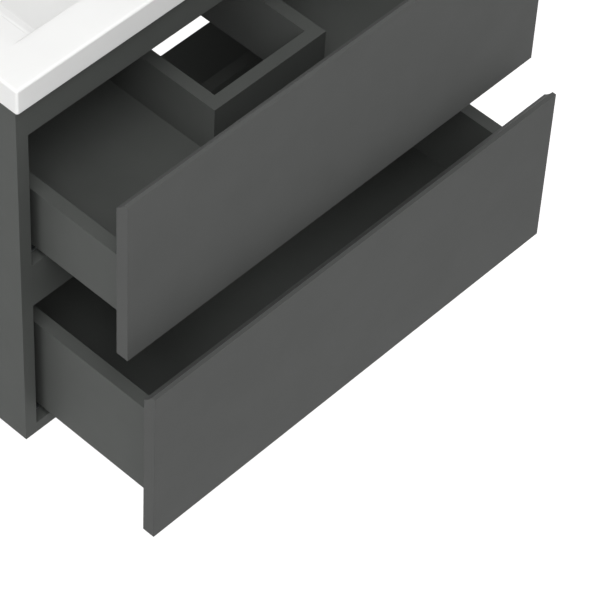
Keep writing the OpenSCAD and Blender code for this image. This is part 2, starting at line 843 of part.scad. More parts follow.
module lower_bumpers() {
    color([0.8, 0.8, 0.8]) lower_drawer_frame() bumpers();
}

// wall plates and hangers stand in the fixing's own frame, whose origin is on the wall
module wall_plate(side) {
    difference() {
        union() {
            block([side * plate_x - plate_width / 2, -plate_steel, -plate_height / 2],
                  [side * plate_x + plate_width / 2, 0, plate_top]);
            block([side * plate_x - plate_width / 2, -lip_reach, plate_top - plate_steel],
                  [side * plate_x + plate_width / 2, 0, plate_top]);
            block([side * plate_x - plate_width / 2, -lip_reach, plate_top - plate_steel],
                  [side * plate_x + plate_width / 2, plate_steel - lip_reach, lip_top]);
        }
        for (end = pair)
            translate([side * plate_x, 1, end * plate_hole_spacing / 2]) rotate([90, 0, 0])
                cylinder(r = plate_hole_radius, h = plate_steel + 2);
    }
}

module wall_plate_left() {
    color([0.7, 0.7, 0.72]) wall_plate(-1);
}

module wall_plate_right() {
    color([0.7, 0.7, 0.72]) wall_plate(1);
}

module hanger_screw_place(side, height) {
    translate([side * (inner_x - hanger_width / 2), hanger_face - hanger_depth, hanger_low + height])
        rotate([-90, 0, 0]) children();
}

// the hanger's arm lies on the plate's lip and its tooth hooks behind it
module hanger(side) {
    arm_x = inner_x - 2;
    tooth_back = hook_thickness - hook_back;
    difference() {
        mirror([side > 0 ? 0 : 1, 0, 0]) union() {
            block([inner_x - hanger_width, hanger_face - hanger_depth, hanger_low],
                  [inner_x, hanger_face, hanger_low + hanger_height]);
            block([arm_x - hook_width, hanger_face - 1, arm_low],
                  [arm_x, tooth_back, arm_low + arm_height]);
            block([arm_x - hook_width, -hook_back, lip_top - lip_height / 2],
                  [arm_x, tooth_back, arm_low + 1]);
            for (point = peg_points) pin_x(1, inner_x, point, peg_radius, peg_depth, 1);
        }
        for (height = hanger_screw_heights)
            hanger_screw_place(side, height) translate([0, 0, -1])
                cylinder(r = hanger_screw_radius + fit_play, h = hanger_screw_length + 2);
    }
}

module hanger_left() {
    color([0.8, 0.8, 0.8]) hanger(-1);
}

module hanger_right() {
    color([0.8, 0.8, 0.8]) hanger(1);
}

module hanger_screws() {
    color([0.7, 0.7, 0.72])
        for (side = pair)
            for (height = hanger_screw_heights)
                hanger_screw_place(side, height) difference() {
                    cylinder(r = hanger_screw_radius, h = hanger_screw_length);
                    for (turn = [0, 90])
                        rotate([0, 0, turn]) translate([-2.5, -0.5, -0.1]) cube([5, 1, 2.1]);
                }
}

side_left();
side_right();
bottom_panel();
front_rail_top();
front_rail_middle();
back_rail_top();
back_rail_bottom();
carcass_dowels();
carcass_cam_bolts();
carcass_cams();
basin();
hanger_left();
hanger_right();
hanger_screws();
wall_plate_left();
wall_plate_right();
upper_runner_left();
upper_runner_right();
lower_runner_left();
lower_runner_right();
runner_screws();
upper_front();
upper_side_left();
upper_side_right();
upper_bottom();
upper_back_left();
upper_back_right();
recess_left();
recess_front();
recess_right();
upper_dowels();
upper_rider_left();
upper_rider_right();
upper_clip_left();
upper_clip_right();
upper_bumpers();
lower_front();
lower_side_left();
lower_side_right();
lower_bottom();
lower_back();
lower_dowels();
lower_rider_left();
lower_rider_right();
lower_clip_left();
lower_clip_right();
lower_bumpers();
upper_middle_left();
upper_middle_right();
lower_middle_left();
lower_middle_right();
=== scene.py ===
import json
import math
import bmesh
import bpy
import numpy as np
from mathutils import Matrix, Vector


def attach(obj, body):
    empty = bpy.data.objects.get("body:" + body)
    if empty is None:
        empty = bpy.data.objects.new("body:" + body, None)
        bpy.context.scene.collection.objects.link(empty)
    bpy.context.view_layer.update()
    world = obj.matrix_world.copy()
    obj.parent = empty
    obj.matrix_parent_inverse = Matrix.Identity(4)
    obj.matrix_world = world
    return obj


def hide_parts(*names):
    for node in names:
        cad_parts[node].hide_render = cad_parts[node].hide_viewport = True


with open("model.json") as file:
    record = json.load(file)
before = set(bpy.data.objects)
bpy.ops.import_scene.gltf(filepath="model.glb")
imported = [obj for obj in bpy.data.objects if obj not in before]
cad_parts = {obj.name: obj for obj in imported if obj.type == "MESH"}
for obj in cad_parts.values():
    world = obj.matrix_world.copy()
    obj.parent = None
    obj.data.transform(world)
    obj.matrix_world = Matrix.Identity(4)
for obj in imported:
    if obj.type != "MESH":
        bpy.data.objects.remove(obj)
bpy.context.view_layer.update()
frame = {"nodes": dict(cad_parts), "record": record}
NODES = frame["nodes"]


MM = 0.001


# ---- materials: colours are sRGB hex, textures lie in Object coordinates with their spacings in mm

# the noise seldom leaves this span, so a colour ramp over it reaches both of its tones
NOISE_LOW, NOISE_HIGH = 0.3, 0.7
GRAIN_DETAIL = 2.0
BEVEL_SAMPLES = 6
BOARD_IOR, CERAMIC_IOR, NYLON_IOR, WOOD_IOR, SILICONE_IOR = 1.5, 1.52, 1.53, 1.45, 1.41
# 0.5 is the mirror strength that the IOR gives, and the matt coats show less of it
MATT_SPECULAR = 0.2


def linear(hex_colour):
    """sRGB hex to linear: c / 12.92 below 0.04045, else ((c + 0.055) / 1.055) ^ 2.4."""
    values = [int(hex_colour[i:i + 2], 16) / 255.0 for i in (1, 3, 5)]
    return [v / 12.92 if v <= 0.04045 else ((v + 0.055) / 1.055) ** 2.4 for v in values] + [1.0]


WHITE = linear("#FFFFFF")


def add(tree, kind, settings=None, **links):
    """Adds one node. Settings fill its sockets or properties, and links join its inputs to the
    sockets of other nodes."""
    node = tree.nodes.new(kind)
    for name, value in (settings or {}).items():
        if name in node.inputs:
            node.inputs[name].default_value = value
        else:
            setattr(node, name, value)
    for name, source in links.items():
        tree.links.new(source, node.inputs[name.replace("_", " ")])
    return node


def combine(tree, operation, first, second):
    """Adds a Math node that joins two sockets, and gives its result."""
    node = add(tree, "ShaderNodeMath", {"operation": operation})
    tree.links.new(first, node.inputs[0])
    tree.links.new(second, node.inputs[1])
    return node.outputs[0]


def new_material(name, **settings):
    """A node material with its output and a Principled shader, whose inputs the settings fill."""
    material = bpy.data.materials.new(name)
    material.use_nodes = True
    tree = material.node_tree
    tree.nodes.clear()
    output = tree.nodes.new("ShaderNodeOutputMaterial")
    shader = tree.nodes.new("ShaderNodeBsdfPrincipled")
    tree.links.new(shader.outputs[0], output.inputs[0])
    for socket, value in settings.items():
        shader.inputs[socket.replace("_", " ")].default_value = value
    return material, tree, shader


def mottle(tree, shader, low, high, *, spacing_mm, stretch=(1, 1, 1), detail=3.0):
    """Colour that drifts between two tones over patches spacing_mm wide. Gives the place that it
    is worked out from, for grain to share."""
    place = add(tree, "ShaderNodeTexCoord")
    turned = add(tree, "ShaderNodeMapping", {"Scale": stretch}, Vector=place.outputs["Object"])
    noise = add(tree, "ShaderNodeTexNoise", {"Scale": 1.0 / (spacing_mm * MM), "Detail": detail},
                Vector=turned.outputs[0])
    ramp = add(tree, "ShaderNodeValToRGB", Fac=noise.outputs["Fac"])
    for stop, tone, position in zip(ramp.color_ramp.elements, (low, high),
                                    (NOISE_LOW, NOISE_HIGH)):
        stop.color = linear(tone)
        stop.position = position
    tree.links.new(ramp.outputs["Color"], shader.inputs["Base Color"])
    return turned.outputs[0]


def grain(tree, shader, place, *, spacing_mm, height_mm, rough, edge_mm=0.0):
    """Surface texture of one spacing: a bump of height_mm and a roughness that drifts between the
    two values of rough. With edge_mm the edges look rounded to that radius."""
    noise = add(tree, "ShaderNodeTexNoise",
                {"Scale": 1.0 / (spacing_mm * MM), "Detail": GRAIN_DETAIL}, Vector=place)
    spans = add(tree, "ShaderNodeMapRange", {"To Min": rough[0], "To Max": rough[1]},
                Value=noise.outputs["Fac"])
    tree.links.new(spans.outputs[0], shader.inputs["Roughness"])
    bump = add(tree, "ShaderNodeBump", {"Strength": 1.0, "Distance": height_mm * MM},
               Height=noise.outputs["Fac"])
    if edge_mm:
        soft = add(tree, "ShaderNodeBevel", {"samples": BEVEL_SAMPLES, "Radius": edge_mm * MM})
        tree.links.new(soft.outputs[0], bump.inputs["Normal"])
    tree.links.new(bump.outputs[0], shader.inputs["Normal"])


def lacquered_fibreboard():
    """Drawer fronts: fibreboard under sprayed matt lacquer, an even grey with a faint orange peel
    and eased edges."""
    material, tree, shader = new_material("lacquered_fibreboard", IOR=BOARD_IOR,
                                          Specular_IOR_Level=MATT_SPECULAR)
    place = mottle(tree, shader, "#484948", "#4B4C4B", spacing_mm=60)
    grain(tree, shader, place, spacing_mm=1.6, height_mm=0.012, rough=(0.56, 0.64), edge_mm=0.7)
    return material


def melamine_faced_board():
    """Carcass and drawer boxes: particle board faced with dark grey melamine, pressed with a fine
    pearl texture."""
    material, tree, shader = new_material("melamine_faced_board", IOR=BOARD_IOR,
                                          Specular_IOR_Level=MATT_SPECULAR)
    place = mottle(tree, shader, "#4B4D4B", "#4E504E", spacing_mm=60)
    grain(tree, shader, place, spacing_mm=0.9, height_mm=0.012, rough=(0.58, 0.66), edge_mm=0.5)
    return material


def glazed_ceramic():
    """Basin: fired white glaze on cast fireclay, smooth with a satin sheen and a slow waviness
    left by casting."""
    material, tree, shader = new_material("glazed_ceramic", IOR=CERAMIC_IOR)
    place = mottle(tree, shader, "#E9E9E8", "#ECECEB", spacing_mm=90)
    grain(tree, shader, place, spacing_mm=35, height_mm=0.02, rough=(0.27, 0.33))
    return material


def zinc_plated_steel():
    """Runners and wall plates: cold-rolled steel sheet with a passivated zinc coat, satin with
    faint rolling streaks."""
    material, tree, shader = new_material("zinc_plated_steel", Metallic=1.0)
    place = mottle(tree, shader, "#B4B7BA", "#C6C9CC", spacing_mm=6, stretch=(1, 0.2, 1))
    grain(tree, shader, place, spacing_mm=0.8, height_mm=0.004, rough=(0.28, 0.42))
    return material


def turned_steel():
    """Small turned or cast fasteners with bright zinc: a little smoother than sheet."""
    material, tree, shader = new_material("turned_steel", Metallic=1.0)
    place = mottle(tree, shader, "#BFC1C3", "#D2D4D6", spacing_mm=3)
    grain(tree, shader, place, spacing_mm=0.5, height_mm=0.003, rough=(0.22, 0.34))
    return material


def moulded_nylon(name, low, high):
    """Hangers and clips: injection-moulded nylon, an even colour with a fine spark-eroded
    texture."""
    material, tree, shader = new_material(name, IOR=NYLON_IOR)
    place = mottle(tree, shader, low, high, spacing_mm=12)
    grain(tree, shader, place, spacing_mm=0.6, height_mm=0.01, rough=(0.42, 0.55))
    return material


def beech_dowel():
    """Turned beech: pale tan, with short darker flecks drawn out along the dowel."""
    material, tree, shader = new_material("beech_dowel", IOR=WOOD_IOR)
    place = mottle(tree, shader, "#BF9A6B", "#D3B283", spacing_mm=1.6, stretch=(0.15, 1, 1),
                   detail=6.0)
    grain(tree, shader, place, spacing_mm=0.7, height_mm=0.02, rough=(0.55, 0.7))
    return material


def silicone_bumper():
    """Clear soft silicone: milky, with a satin skin."""
    material, tree, shader = new_material("silicone_bumper", IOR=SILICONE_IOR)
    place = mottle(tree, shader, "#C9CBCB", "#D8DADA", spacing_mm=4)
    grain(tree, shader, place, spacing_mm=0.8, height_mm=0.003, rough=(0.25, 0.35))
    return material


LACQUER = lacquered_fibreboard()
MELAMINE = melamine_faced_board()
CERAMIC = glazed_ceramic()
SHEET = zinc_plated_steel()
FINISH = {
    "board": MELAMINE,
    "basin": CERAMIC,
    "runner_steel": SHEET,
    "plate_steel": SHEET,
    "fastener_steel": turned_steel(),
    "hanger_plastic": moulded_nylon("light_nylon", "#C2C4C4", "#CDCFCF"),
    "clip_plastic": moulded_nylon("grey_nylon", "#73767A", "#7D8084"),
    "bumper_rubber": silicone_bumper(),
    "dowel_wood": beech_dowel(),
}

# the record gives boards and fronts one material slot, and the fronts alone are lacquered
FRONTS = ("upper_front", "lower_front")
for row in frame["record"]["subparts"]:
    mesh = NODES[row["node"]].data
    mesh.materials.clear()
    mesh.materials.append(LACQUER if row["node"] in FRONTS else FINISH[row["material_slot"]])


# ---- basin: one cast shell, in cabinet millimetres
# X from the middle, Y from the carcass front towards the wall, Z from the carcass's foot

# driving dimensions, the same as the solid's: the carcass with the space behind its back rail,
# the overhangs and the thin rim, the decks, the bowl and the holes
CARCASS_WIDTH, CARCASS_DEPTH, CARCASS_HEIGHT, BOARD = 600.0, 450.0, 492.0, 15.0
BACK_SPACE, SEAT_MARGIN = 20.0, 2.0
SIDE_OVERHANG, FRONT_OVERHANG, RIM_HEIGHT, DECK_WALL = 5.0, 8.0, 31.0, 14.0
FRONT_DECK, TAP_BACK = 47.5, 60.0
BOWL_RUN, BOWL_DEPTH, BOWL_LEAN, BOWL_WALL = 300.0, 110.0, 45.0, 9.0
TAP_RADIUS, WASTE_RADIUS = 17.5, 23.0
# the frame's origin lies on the wall, this far under the carcass's top
FIXING_DROP = 72.0

# side deck, by the distance in from the basin's side: a falling curve, a small step, a level and
# a run down to the bowl
CURVE_START, CURVE_END, CURVE_FALL = 35.0, 60.0, 3.0
STEP_RUN, STEP_FALL, LEVEL_RUN = 1.5, 0.8, 2.5
RUN_START = CURVE_END + STEP_RUN + LEVEL_RUN
RUN_LENGTH, RUN_SLOPE = 10.0, 0.42

# what follows from them: the rim, the seat between the carcass's boards, the bowl's straight
# walls and the tap hole
CABINET_AT = np.array([0.0, -CARCASS_DEPTH, FIXING_DROP - CARCASS_HEIGHT])
BASIN_HALF = CARCASS_WIDTH / 2 + SIDE_OVERHANG
BASIN_FRONT, BASIN_BACK = -FRONT_OVERHANG, CARCASS_DEPTH
RIM_LOW, RIM_TOP = CARCASS_HEIGHT, CARCASS_HEIGHT + RIM_HEIGHT
DECK_LOW = RIM_TOP - DECK_WALL
SEAT_HALF = CARCASS_WIDTH / 2 - BOARD - SEAT_MARGIN
SEAT_FRONT = BOARD + SEAT_MARGIN
SEAT_BACK = CARCASS_DEPTH - BACK_SPACE - BOARD - SEAT_MARGIN
BOWL_HALF = BASIN_HALF - RUN_START - RUN_LENGTH
BOWL_FRONT = BASIN_FRONT + FRONT_DECK
BOWL_BACK = BOWL_FRONT + BOWL_RUN
TAP_Y = CARCASS_DEPTH - TAP_BACK

# radii: the rim's upper and lower edge, the tap hole's edge, the lip and the foot of the bowl's
# end walls
EDGE, FOOT_EDGE, TAP_EDGE, LIP, FLOOR_BEND = 3.0, 0.8, 1.5, 2.0, 25.0
# a loop this far from a rounded edge keeps the shading of the flat face even
HOLD = 0.5
# radii of the bowl's outside corners under the deck and at the floor, and the width of the flat
# ring under the waste hole
OUTER_CORNER, OUTER_CORNER_LOW, WASTE_SEAT = 13.0, 40.0, 17.0
# the dished floor round the waste hole: distance out from the hole, and drop
WASTE_DISH = ((8.0, 0.0), (3.0, 1.2), (1.0, 2.0), (0.0, 3.2))

# the opening lies MOUTH outside the straight walls, and the bowl narrows from it
MOUTH = 1.5
OPEN_HALF, OPEN_FRONT, OPEN_BACK = BOWL_HALF + MOUTH, BOWL_FRONT - MOUTH, BOWL_BACK + MOUTH
MIDDLE_Y = (BOWL_FRONT + BOWL_BACK) / 2.0
REACH_Y = OPEN_BACK - MIDDLE_Y
FLOOR_TOP = RIM_TOP - BOWL_DEPTH
FLOOR_LOW = FLOOR_TOP - BOWL_WALL
# angle between the end walls and the vertical
LEAN = math.atan2(BOWL_LEAN, BOWL_DEPTH)
# where the end walls have come in by a distance, the side walls have come in by this share of it
# and the inside corners have this share of it as their radius
SIDE_SHARE, CORNER_SHARE = 0.93, 0.66
# half of the square of deck round the tap hole, and the grid line inside it
TAP_BLOCK = 25.0
TAP_LINE = TAP_BLOCK / 2

# the deck's grid lines between the parts of the side deck, and across the front and back decks:
# where each run of lines ends, and its number of even steps
SIDE_LINES = ((CURVE_START, 5), (CURVE_END, 12), (CURVE_END + STEP_RUN, 5), (RUN_START, 3),
              (BASIN_HALF - OPEN_HALF, 6))
FRONT_LINES = ((OPEN_FRONT, 7), (BOWL_FRONT, 2))
BACK_LINES = ((OPEN_BACK, 2), (TAP_Y - TAP_BLOCK, 3), (TAP_Y + TAP_BLOCK, 4),
              (BASIN_BACK - EDGE, 3))
# into the bowl's width and length they spread by a constant ratio, along it over LENGTH_SHARE of
# the way to its middle: first and last distance from the opening or the straight wall, and the
# number of lines
LENGTH_SHARE = 0.73
WIDTH_LINES = (1.0, OPEN_HALF - TAP_BLOCK, 14)
LENGTH_LINES = (0.15, LENGTH_SHARE * REACH_Y, 22)
# lines that agree to this many decimals of a millimetre are one line
LINE_DECIMALS = 6
# even steps round the rim's upper and lower edge and the tap hole's edge
EDGE_STEPS, FOOT_STEPS, TAP_STEPS = 7, 2, 3
# even steps over the bowl's lip, down its end wall, round the bend and up its outside
LIP_STEPS, WALL_STEPS, BEND_STEPS, OUTSIDE_STEPS = 5, 8, 9, 5
# points in each corner of the rim
CORNER_POINTS = 7
# loops on the floor between the bend and the waste's dish, as shares of the way
FLOOR_SHARES = (0.35, 0.7)

# points closer than this merge, shorter edges dissolve, and steeper edges are shaded sharp
MERGE_MM, SHORT_MM, SHARP_DEGREES = 0.01, 0.001, 35.0


def steps(start, end, count):
    """The ends of count even steps from start to end."""
    return np.linspace(start, end, count + 1)[1:]


def spread(start, stops):
    """Grid lines from start through the stops. Each stop is a place and the number of even steps
    to it."""
    lines = [np.array([start])]
    for place, count in stops:
        lines.append(steps(lines[-1][-1], place, count))
    return np.concatenate(lines)


def smooth(value):
    """0 below 0, 1 above 1, and 3v^2 - 2v^3 between, which starts and ends level."""
    value = np.clip(value, 0.0, 1.0)
    return value * value * (3.0 - 2.0 * value)


def blend_low(first, second, reach):
    """The smaller of two values, rounded over where they differ by less than reach."""
    share = np.clip(0.5 + 0.5 * (second - first) / reach, 0.0, 1.0)
    return second * (1.0 - share) + first * share - reach * share * (1.0 - share)


def wall_drop(distance):
    """Drop of the bowl's end walls at a distance inside the opening: a quarter round of radius
    LIP until it meets the wall's slope, then straight down that slope."""
    turn_in = LIP * math.cos(LEAN)
    along = np.clip(distance, 0.0, turn_in)
    round_part = LIP - np.sqrt(np.maximum(LIP ** 2 - along ** 2, 0.0))
    return round_part + np.maximum(distance - turn_in, 0.0) / math.tan(LEAN)


def deck_height(x, y):
    """Height of the deck. By the distance in from the basin's side, the side deck falls as a
    parabola from CURVE_START to CURVE_END, drops in a small smooth step, lies level to RUN_START
    and then runs down at RUN_SLOPE. It never lies deeper than the bowl's end walls, whose line it
    carries outwards."""
    side = BASIN_HALF - np.abs(x)
    share = np.clip((side - CURVE_START) / (CURVE_END - CURVE_START), 0.0, 1.0)
    curve = CURVE_FALL * share ** 2
    step = STEP_FALL * smooth((side - CURVE_END) / STEP_RUN)
    fall = curve + step + RUN_SLOPE * np.clip(side - RUN_START, 0.0, RUN_LENGTH)
    ends = np.minimum(y - OPEN_FRONT, OPEN_BACK - y)
    return RIM_TOP - np.maximum(blend_low(fall, wall_drop(ends), STEP_FALL), 0.0)


def deck_lines():
    """Grid lines across and along the deck, closest where it bends."""
    half = np.concatenate([BASIN_HALF - spread(EDGE, SIDE_LINES),
                           OPEN_HALF - np.geomspace(*WIDTH_LINES), [TAP_LINE, 0.0]])
    into_length = np.geomspace(*LENGTH_LINES)
    along = np.concatenate([spread(BASIN_FRONT + EDGE, FRONT_LINES), BOWL_FRONT + into_length,
                            [MIDDLE_Y], BOWL_BACK - into_length, spread(BOWL_BACK, BACK_LINES)])
    across = np.concatenate([-half, half])
    return [np.unique(np.round(lines, LINE_DECIMALS)) for lines in (across, along)]


def round_corners(x, y, half, front, back, radius):
    """Moves the points of a rectangle's outline that lie within radius of a corner onto its
    corner arc."""
    middle, reach = (front + back) / 2.0, (back - front) / 2.0
    across, along = np.abs(x) - (half - radius), np.abs(y - middle) - (reach - radius)
    near = (across > 0.0) & (along > 0.0)
    length = np.where(near, np.hypot(across, along), 1.0)
    shift_x = np.where(near, (half - radius) + radius * across / length, np.abs(x))
    shift_y = np.where(near, (reach - radius) + radius * along / length, np.abs(y - middle))
    return np.sign(x) * shift_x, middle + np.sign(y - middle) * shift_y


def loop_of(grid, i0, i1, j0, j1):
    """The outline of a block of grid points, anticlockwise from above."""
    return np.concatenate([grid[i0:i1, j0], grid[i1, j0:j1], grid[i1:i0:-1, j1],
                           grid[i0, j1:j0:-1]])


def stitch(first, second):
    """Quads between two loops with the same number of points."""
    return np.stack([first, second, np.roll(second, -1), np.roll(first, -1)], axis=1)


def arc(angles):
    """Sine and 1 - cosine of some angles: how far a round of radius 1 has gone in, and fallen."""
    return np.stack([np.sin(angles), 1.0 - np.cos(angles)], axis=1)


def quarter(count):
    """A quarter round of radius 1 in count even steps, without its start."""
    return arc(steps(0.0, math.pi / 2, count))


def corner_fan(count_front, count_side, points):
    """For an outline whose corners are repeated points times: where each point comes from, and
    the angle of its outward direction."""
    source, turn, start = [], [], 0
    for number, count in enumerate([count_front, count_side, count_front, count_side]):
        base = (number - 1) * math.pi / 2
        source.append(np.full(points, start))
        turn.append(base - math.pi / 2 + np.linspace(0.0, math.pi / 2, points))
        source.append(np.arange(start + 1, start + count))
        turn.append(np.full(count - 1, base))
        start += count
    return np.concatenate(source), np.concatenate(turn)


def bowl_section():
    """Distances in from the opening and depths of an end wall: lip, leaning wall, bend and edge
    of the floor."""
    bend = math.pi / 2 - LEAN
    tangent = FLOOR_BEND * math.tan(bend / 2)
    foot = MOUTH + BOWL_LEAN
    lip = LIP * arc(np.linspace(0.0, bend, LIP_STEPS + 1))
    wall_end = (foot - tangent * math.sin(LEAN), BOWL_DEPTH - tangent * math.cos(LEAN))
    wall = steps(lip[-1], wall_end, WALL_STEPS)
    floor = (foot + tangent, BOWL_DEPTH) - FLOOR_BEND * arc(bend - steps(0.0, bend, BEND_STEPS))
    return np.concatenate([lip, wall, floor]).T


class Shell:
    """Points and quads of one closed surface, collected loop by loop."""

    def __init__(self):
        self.points, self.faces, self.total = [], [], 0

    def add(self, x, y, z):
        """Adds points and gives their numbers."""
        self.points.append(np.stack(np.broadcast_arrays(x, y, z), axis=1).astype(float))
        self.total += len(self.points[-1])
        return np.arange(self.total - len(self.points[-1]), self.total)

    def outward(self, loop, x, y, z):
        """Adds a loop that follows another one down the outside."""
        following = self.add(x, y, z)
        self.faces.append(stitch(loop, following))
        return following

    def inward(self, loop, x, y, z):
        """Adds a loop that follows another one down the inside of a hole."""
        following = self.add(x, y, z)
        self.faces.append(stitch(following, loop))
        return following


def rim(shell, deck, under, outline, source, turn):
    """Outside of the rim: over its rounded edge, down its face, under it to the seat and up to
    the underside."""
    x, y, _ = deck[outline][source].T
    out_x, out_y = np.cos(turn), np.sin(turn)
    loop = shell.add(*deck[outline][source].T)
    section = [(EDGE * sine, RIM_TOP - EDGE * fall) for sine, fall in quarter(EDGE_STEPS)]
    section += [(EDGE, RIM_TOP - EDGE - HOLD), (EDGE, RIM_LOW + FOOT_EDGE + HOLD),
                (EDGE, RIM_LOW + FOOT_EDGE)]
    section += [(EDGE - FOOT_EDGE * fall, RIM_LOW + FOOT_EDGE * (1.0 - sine))
                for sine, fall in quarter(FOOT_STEPS)]
    for reach, height in section:
        loop = shell.outward(loop, x + reach * out_x, y + reach * out_y, height)
    seat_x, seat_y, _ = under[outline][source].T
    for height in (RIM_LOW, DECK_LOW):
        loop = shell.outward(loop, seat_x, seat_y, height)


def bowl(shell, deck, opening):
    """Inside of the bowl: over its lip, down the leaning walls and round the bend, over the
    dished floor, through the waste hole and up its outside to the underside of the deck."""
    square_x, square_y, _ = deck[opening].T
    offsets, depths = bowl_section()
    drop = RIM_TOP - deck[opening][:, 2].min()
    loop = opening
    for offset, depth in zip(offsets[1:], depths[1:]):
        half = OPEN_HALF - SIDE_SHARE * offset
        x = square_x * half / OPEN_HALF
        y = MIDDLE_Y + (square_y - MIDDLE_Y) * (REACH_Y - offset) / REACH_Y
        end_wall = RIM_TOP - np.interp(REACH_Y - np.abs(y - MIDDLE_Y), offsets, depths)
        side_wall = RIM_TOP - drop - depth * (BOWL_DEPTH - drop) / BOWL_DEPTH
        x, y = round_corners(x, y, half, OPEN_FRONT + offset, OPEN_BACK - offset,
                             CORNER_SHARE * offset)
        loop = shell.inward(loop, x, y, np.maximum(end_wall, side_wall))
    turn = np.arctan2((y - MIDDLE_Y) / REACH_Y, x / OPEN_HALF)
    circle_x, circle_y = np.cos(turn), np.sin(turn)
    dish = WASTE_RADIUS + WASTE_DISH[0][0]
    for share in FLOOR_SHARES:
        loop = shell.inward(loop, x + (dish * circle_x - x) * share,
                            y + (MIDDLE_Y + dish * circle_y - y) * share, FLOOR_TOP)
    section = [(WASTE_RADIUS + out, FLOOR_TOP - fall) for out, fall in WASTE_DISH]
    section += [(WASTE_RADIUS, FLOOR_LOW), (WASTE_RADIUS + WASTE_SEAT, FLOOR_LOW)]
    for radius, height in section:
        loop = shell.inward(loop, radius * circle_x, MIDDLE_Y + radius * circle_y, height)
    for share in np.linspace(0.0, 1.0, OUTSIDE_STEPS + 1)[:-1]:
        inset = BOWL_LEAN * (1.0 - share)
        half, reach = BOWL_HALF + BOWL_WALL - inset, REACH_Y - MOUTH + BOWL_WALL - inset
        x = square_x * half / OPEN_HALF
        y = MIDDLE_Y + (square_y - MIDDLE_Y) * reach / REACH_Y
        x, y = round_corners(x, y, half, MIDDLE_Y - reach, MIDDLE_Y + reach,
                             OUTER_CORNER_LOW + (OUTER_CORNER - OUTER_CORNER_LOW) * share)
        loop = shell.inward(loop, x, y, FLOOR_LOW + (DECK_LOW - FLOOR_LOW) * share)
    shell.faces.append(stitch(opening + len(deck), loop))


def tap_hole(shell, deck, outline):
    """Tap hole: loops from the outline of its square of deck to its rounded edge and down through
    the deck."""
    turn = np.arctan2(deck[outline][:, 1] - TAP_Y, deck[outline][:, 0])
    loop = outline
    section = [(TAP_RADIUS + TAP_EDGE, RIM_TOP)]
    section += [(TAP_RADIUS + TAP_EDGE * (1.0 - sine), RIM_TOP - TAP_EDGE * fall)
                for sine, fall in quarter(TAP_STEPS)]
    for radius, height in section + [(TAP_RADIUS, DECK_LOW)]:
        loop = shell.inward(loop, radius * np.cos(turn), TAP_Y + radius * np.sin(turn), height)
    shell.faces.append(stitch(outline + len(deck), loop))


def basin_shell():
    """A frame-shaped deck grid over z = deck_height(x, y), the same grid again as its underside,
    and loops of points that join their outlines round the rim, through the bowl and through the
    tap hole."""
    lines_x, lines_y = deck_lines()
    x, y = np.meshgrid(lines_x, lines_y, indexing="ij")
    grid = np.arange(x.size).reshape(x.shape)
    across, along = len(lines_x) - 1, len(lines_y) - 1

    def block(low_x, high_x, low_y, high_y):
        """First and last grid lines nearest to a block's sides."""
        return [int(np.argmin(np.abs(lines - value)))
                for lines, value in ((lines_x, low_x), (lines_x, high_x),
                                     (lines_y, low_y), (lines_y, high_y))]

    mouth = block(-OPEN_HALF, OPEN_HALF, OPEN_FRONT, OPEN_BACK)
    square = block(-TAP_BLOCK, TAP_BLOCK, TAP_Y - TAP_BLOCK, TAP_Y + TAP_BLOCK)
    cells = np.ones((across, along), dtype=bool)
    for i0, i1, j0, j1 in (mouth, square):
        cells[i0:i1, j0:j1] = False
    quads = np.stack([grid[:-1, :-1], grid[1:, :-1], grid[1:, 1:], grid[:-1, 1:]],
                     axis=-1)[cells]
    opening, outline = loop_of(grid, *mouth), loop_of(grid, 0, across, 0, along)

    # the underside's outer lines draw in to the seat, and its opening lies BOWL_WALL outside
    outer = BOWL_WALL - MOUTH
    under_x = np.interp(lines_x,
                        [EDGE - BASIN_HALF, -OPEN_HALF, OPEN_HALF, BASIN_HALF - EDGE],
                        [-SEAT_HALF, -OPEN_HALF - outer, OPEN_HALF + outer, SEAT_HALF])
    under_y = np.interp(lines_y,
                        [BASIN_FRONT + EDGE, OPEN_FRONT, OPEN_BACK,
                         TAP_Y - TAP_LINE, TAP_Y + TAP_LINE, BASIN_BACK - EDGE],
                        [SEAT_FRONT, OPEN_FRONT - outer, OPEN_BACK + outer,
                         TAP_Y - TAP_LINE, TAP_Y + TAP_LINE, SEAT_BACK])
    low_x, low_y = (part.ravel() for part in np.meshgrid(under_x, under_y, indexing="ij"))
    low_x[opening], low_y[opening] = round_corners(
        low_x[opening], low_y[opening], OPEN_HALF + outer, OPEN_FRONT - outer,
        OPEN_BACK + outer, OUTER_CORNER)
    deck = np.stack([x.ravel(), y.ravel(), deck_height(x, y).ravel()], axis=1)
    under = np.stack([low_x, low_y, np.full(low_x.shape, DECK_LOW)], axis=1)

    shell = Shell()
    shell.add(*deck.T)
    shell.add(*under.T)
    shell.faces += [quads, quads[:, ::-1] + len(deck)]
    rim(shell, deck, under, outline, *corner_fan(across, along, CORNER_POINTS))
    bowl(shell, deck, opening)
    tap_hole(shell, deck, loop_of(grid, *square))
    return (np.concatenate(shell.points) + CABINET_AT) * MM, np.concatenate(shell.faces)


